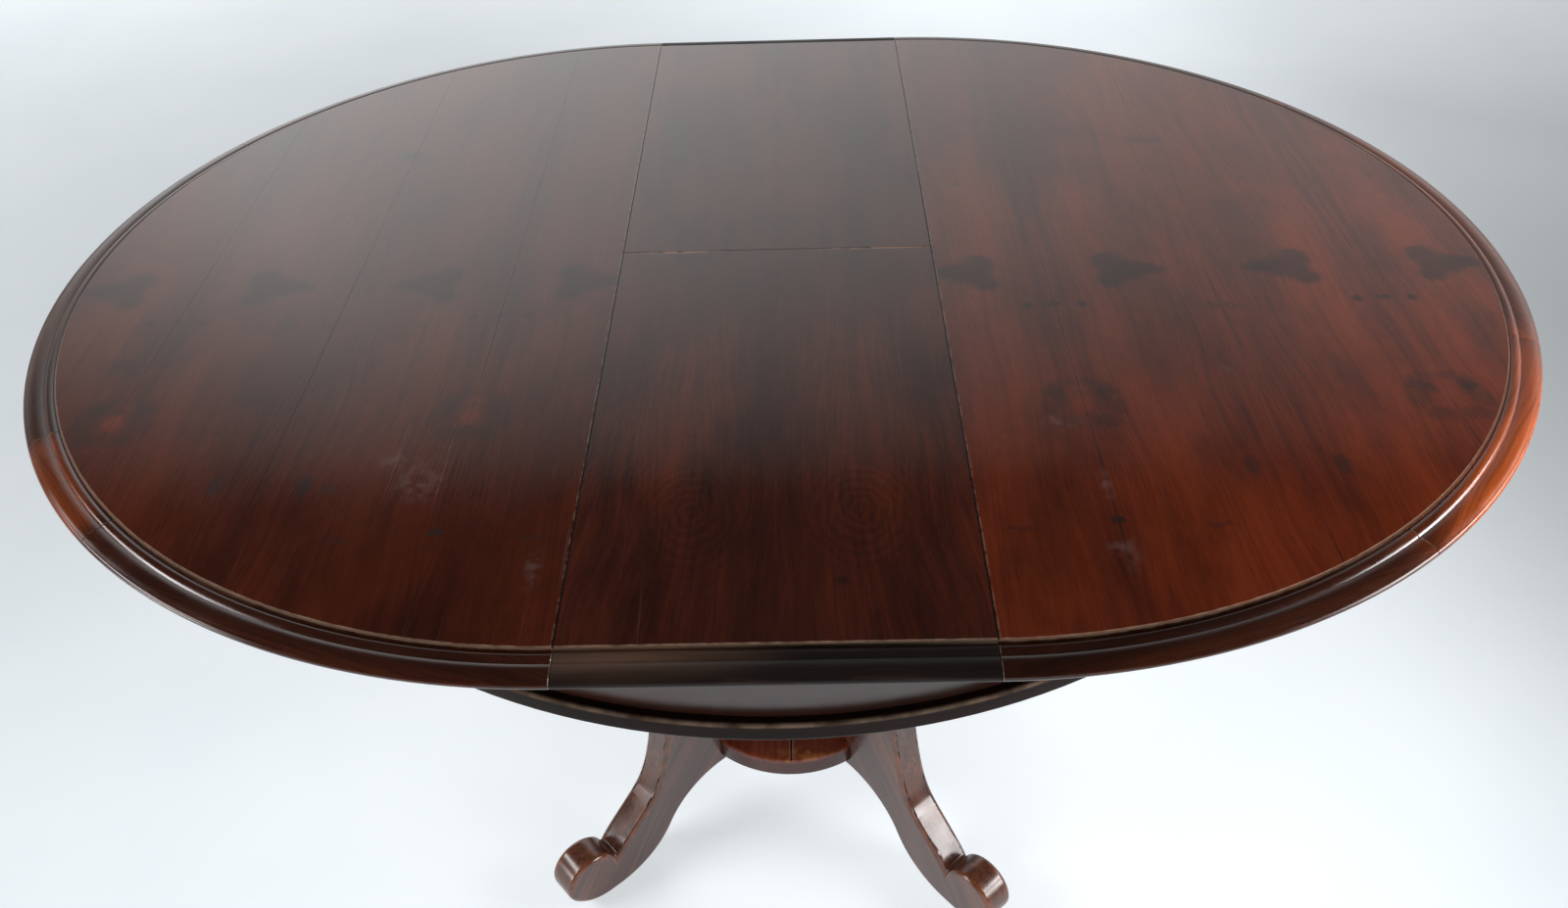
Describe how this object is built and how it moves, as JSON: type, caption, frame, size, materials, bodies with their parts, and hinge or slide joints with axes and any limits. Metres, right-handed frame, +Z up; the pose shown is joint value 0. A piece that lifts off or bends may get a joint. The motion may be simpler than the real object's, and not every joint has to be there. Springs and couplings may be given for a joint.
{
  "type": "extending drum table",
  "caption": "Round dining table with a drum frieze on scroll legs; the moulded top draws apart on wooden slides to take a loose split leaf.",
  "frame": {"origin": "on the floor under the middle of the drum", "axes": "+Z up, +X along the way the halves draw apart, towards the right half, +Y to the back"},
  "size_m": [1.348, 1.056, 0.745],
  "materials": {
    "top_wood": "French polished",
    "leaf_wood": "French polished",
    "rim_wood": "French polished",
    "leaf_edge_wood": "worn polish",
    "drum_wood": "French polished",
    "leg_wood": "worn polish",
    "shelf_wood": "worn polish",
    "slide_wood": "bare planed wood",
    "screw_steel": "dull steel"
  },
  "bodies": {
    "pedestal": {"leg_front_left": "leg_wood", "leg_front_right": "leg_wood", "leg_back_right": "leg_wood", "leg_back_left": "leg_wood", "shelf_left_board": "shelf_wood", "shelf_right_board": "shelf_wood", "lower_bearer": "slide_wood", "upper_bearer": "slide_wood", "front_rail": "slide_wood", "back_rail": "slide_wood", "front_left_tongue": "slide_wood", "front_right_tongue": "slide_wood", "back_left_tongue": "slide_wood", "back_right_tongue": "slide_wood", "frieze_front": "drum_wood", "frieze_right": "drum_wood", "frieze_back": "drum_wood", "frieze_left": "drum_wood", "drum_bead_front": "drum_wood", "drum_bead_right": "drum_wood", "drum_bead_back": "drum_wood", "drum_bead_left": "drum_wood", "glue_blocks": "slide_wood", "rail_screws": "screw_steel"},
    "left_top": {"left_inner_board": "top_wood", "left_second_board": "top_wood", "left_third_board": "top_wood", "left_outer_board": "top_wood", "left_rim_back": "rim_wood", "left_rim_side": "rim_wood", "left_rim_patch": "rim_wood", "left_rim_front": "rim_wood", "left_front_loper": "slide_wood", "left_back_loper": "slide_wood", "left_loper_screws": "screw_steel"},
    "right_top": {"right_inner_board": "top_wood", "right_second_board": "top_wood", "right_third_board": "top_wood", "right_outer_board": "top_wood", "right_rim_front": "rim_wood", "right_rim_corner": "rim_wood", "right_rim_side": "rim_wood", "right_rim_back": "rim_wood", "right_front_loper": "slide_wood", "right_back_loper": "slide_wood", "right_loper_screws": "screw_steel"},
    "front_leaf": {"front_leaf_left_board": "leaf_wood", "front_leaf_right_board": "leaf_wood", "front_leaf_moulding": "leaf_edge_wood", "front_leaf_cleats": "slide_wood", "front_leaf_screws": "screw_steel"},
    "back_leaf": {"back_leaf_left_board": "leaf_wood", "back_leaf_right_board": "leaf_wood", "back_leaf_moulding": "leaf_edge_wood", "back_leaf_cleats": "slide_wood", "back_leaf_screws": "screw_steel"}
  },
  "joints": [
    {"name": "left_draw", "type": "slide", "parent": "pedestal", "child": "left_top", "axis": [-1, 0, 0], "range_m": [0, 0.04]},
    {"name": "right_draw", "type": "slide", "parent": "pedestal", "child": "right_top", "axis": [1, 0, 0], "range_m": [0, 0.04]},
    {"name": "front_leaf_lift", "type": "slide", "parent": "pedestal", "child": "front_leaf", "axis": [0, 0, 1], "range_m": [0, 0.3]},
    {"name": "back_leaf_lift", "type": "slide", "parent": "pedestal", "child": "back_leaf", "axis": [0, 0, 1], "range_m": [0, 0.3]}
  ]
}
